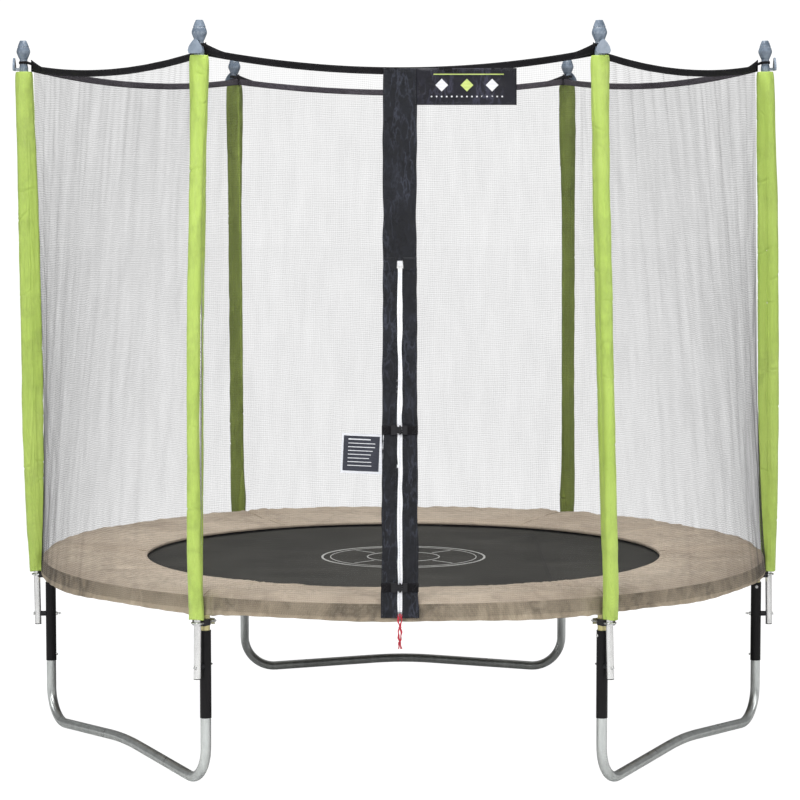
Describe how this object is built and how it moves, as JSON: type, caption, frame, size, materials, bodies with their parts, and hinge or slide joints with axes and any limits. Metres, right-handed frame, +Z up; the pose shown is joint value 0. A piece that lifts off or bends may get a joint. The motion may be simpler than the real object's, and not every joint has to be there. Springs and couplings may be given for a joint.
{
  "type": "backyard trampoline",
  "caption": "Round outdoor trampoline on W-shaped tube legs, with padded poles, a safety net and a zipped, buckled entrance.",
  "frame": {"origin": "centre of the jumping bed, at floor level under it", "axes": "+Z up, -Y towards the zipped door, +X to the right as seen from the door"},
  "size_m": [2.5735, 2.4563, 2.313],
  "materials": {
    "rail_steel": "galvanised tube, dull zinc",
    "leg_steel": "galvanised tube with drawn streaks",
    "zinc_yellow": "yellow passivated zinc",
    "black_paint": "satin black powder coat",
    "bright_hardware": "bright zinc plated hardware",
    "spring_steel": "galvanised spring wire",
    "pole_steel": "bright galvanised pole",
    "black_plastic": "moulded, slightly glossy",
    "lime_fabric": "lime polyester sleeve over foam, long seam",
    "cap_plastic": "blue-grey moulded cap",
    "pad_vinyl": "taupe coated cloth, sewn in panels",
    "black_webbing": "ribbed polyester webbing",
    "mat_weave": "woven polypropylene mat",
    "net_mesh": "fine knitted mesh, see-through",
    "elastic_cord": "braided elastic",
    "banner_cloth": "dark cloth patch",
    "door_cloth": "blue-black taffeta with sheen",
    "zip_white": "white coil zip tape",
    "label_cloth": "dark woven label with pale edge",
    "zip_metal": "cast zip slider",
    "red_ribbon": "red ribbon"
  },
  "bodies": {
    "frame": {"top_rail_1": "rail_steel", "top_rail_2": "rail_steel", "top_rail_3": "rail_steel", "top_rail_4": "rail_steel", "top_rail_5": "rail_steel", "top_rail_6": "rail_steel", "leg_sockets": "zinc_yellow", "w_leg_left": "leg_steel", "w_leg_right": "leg_steel", "w_leg_back": "leg_steel", "leg_extensions": "black_paint", "leg_screws": "bright_hardware", "button_springs": "spring_steel", "poles_lower": "pole_steel", "poles_upper": "pole_steel", "pole_plugs": "black_plastic", "clamp_u_bolts": "bright_hardware", "clamp_blocks": "black_plastic", "clamp_plates": "bright_hardware", "clamp_nuts": "bright_hardware", "clamp_bolts": "bright_hardware", "clamp_spacers": "black_plastic", "foam_sleeves": "lime_fabric", "pole_cap_1": "cap_plastic", "pole_cap_2": "cap_plastic", "pole_cap_3": "cap_plastic", "pole_cap_4": "cap_plastic", "pole_cap_5": "cap_plastic", "pole_cap_6": "cap_plastic", "frame_pad": "pad_vinyl", "pad_straps": "black_webbing", "springs": "spring_steel", "safety_net": "net_mesh", "net_hem": "black_webbing", "net_elastics": "elastic_cord", "banner": "banner_cloth", "door_top": "door_cloth", "zip_top_end": "zip_white"},
    "mat": {"jump_mat": "mat_weave", "mat_band": "black_webbing", "v_rings": "spring_steel"},
    "door_left": {"net_flap_left": "net_mesh", "door_strip_left": "door_cloth", "zip_half_left": "zip_white", "door_straps_left": "black_webbing", "buckle_sockets": "black_plastic", "label": "label_cloth"},
    "door_right": {"net_flap_right": "net_mesh", "door_strip_right": "door_cloth", "zip_half_right": "zip_white", "door_straps_right": "black_webbing", "buckle_plugs": "black_plastic"},
    "zip_slider": {"zip_slider": "zip_metal"},
    "pull_tag": {"pull_tag": "red_ribbon"},
    "leg_button_1": {"leg_button_1": "bright_hardware"},
    "leg_button_2": {"leg_button_2": "bright_hardware"},
    "leg_button_3": {"leg_button_3": "bright_hardware"},
    "leg_button_4": {"leg_button_4": "bright_hardware"},
    "leg_button_5": {"leg_button_5": "bright_hardware"},
    "leg_button_6": {"leg_button_6": "bright_hardware"}
  },
  "joints": [
    {"name": "mat_bounce", "type": "slide", "parent": "frame", "child": "mat", "axis": [0, 0, 1], "range_m": [-0.18, 0], "stiffness_N_per_m": 6000, "springref_m": 0.02, "deforming": ["springs"]},
    {"name": "door_left_swing", "type": "hinge", "parent": "frame", "child": "door_left", "pos_m": [-0.012, -1.10874, 1.6], "axis": [0, 0.9943, -0.1067], "range_deg": [0, 12]},
    {"name": "door_right_swing", "type": "hinge", "parent": "frame", "child": "door_right", "pos_m": [-0.012, -1.10874, 1.6], "axis": [0, -0.9943, 0.1067], "range_deg": [0, 12]},
    {"name": "zip_slide", "type": "slide", "parent": "frame", "child": "zip_slider", "axis": [0, 0.1067, 0.9943], "range_m": [0, 1.03803]},
    {"name": "pull_tag_swing", "type": "hinge", "parent": "zip_slider", "child": "pull_tag", "pos_m": [-0.012, -1.23268, 0.55926], "axis": [-1, 0, 0], "range_deg": [0, 100]},
    {"name": "leg_button_1_press", "type": "slide", "parent": "frame", "child": "leg_button_1", "axis": [1, 0, 0], "range_m": [0, 0.0055], "stiffness_N_per_m": 900, "springref_m": -0.004},
    {"name": "leg_button_2_press", "type": "slide", "parent": "frame", "child": "leg_button_2", "axis": [0.5, 0.866, 0], "range_m": [0, 0.0055], "stiffness_N_per_m": 900, "springref_m": -0.004},
    {"name": "leg_button_3_press", "type": "slide", "parent": "frame", "child": "leg_button_3", "axis": [-0.5, 0.866, 0], "range_m": [0, 0.0055], "stiffness_N_per_m": 900, "springref_m": -0.004},
    {"name": "leg_button_4_press", "type": "slide", "parent": "frame", "child": "leg_button_4", "axis": [-1, 0, 0], "range_m": [0, 0.0055], "stiffness_N_per_m": 900, "springref_m": -0.004},
    {"name": "leg_button_5_press", "type": "slide", "parent": "frame", "child": "leg_button_5", "axis": [-0.5, -0.866, 0], "range_m": [0, 0.0055], "stiffness_N_per_m": 900, "springref_m": -0.004},
    {"name": "leg_button_6_press", "type": "slide", "parent": "frame", "child": "leg_button_6", "axis": [0.5, -0.866, 0], "range_m": [0, 0.0055], "stiffness_N_per_m": 900, "springref_m": -0.004}
  ],
  "couplings": [
    {"joint": "door_right_swing", "follows": "door_left_swing", "ratio": 1},
    {"joint": "zip_slide", "follows": "door_left_swing", "m_per_rad": 4.9562}
  ]
}
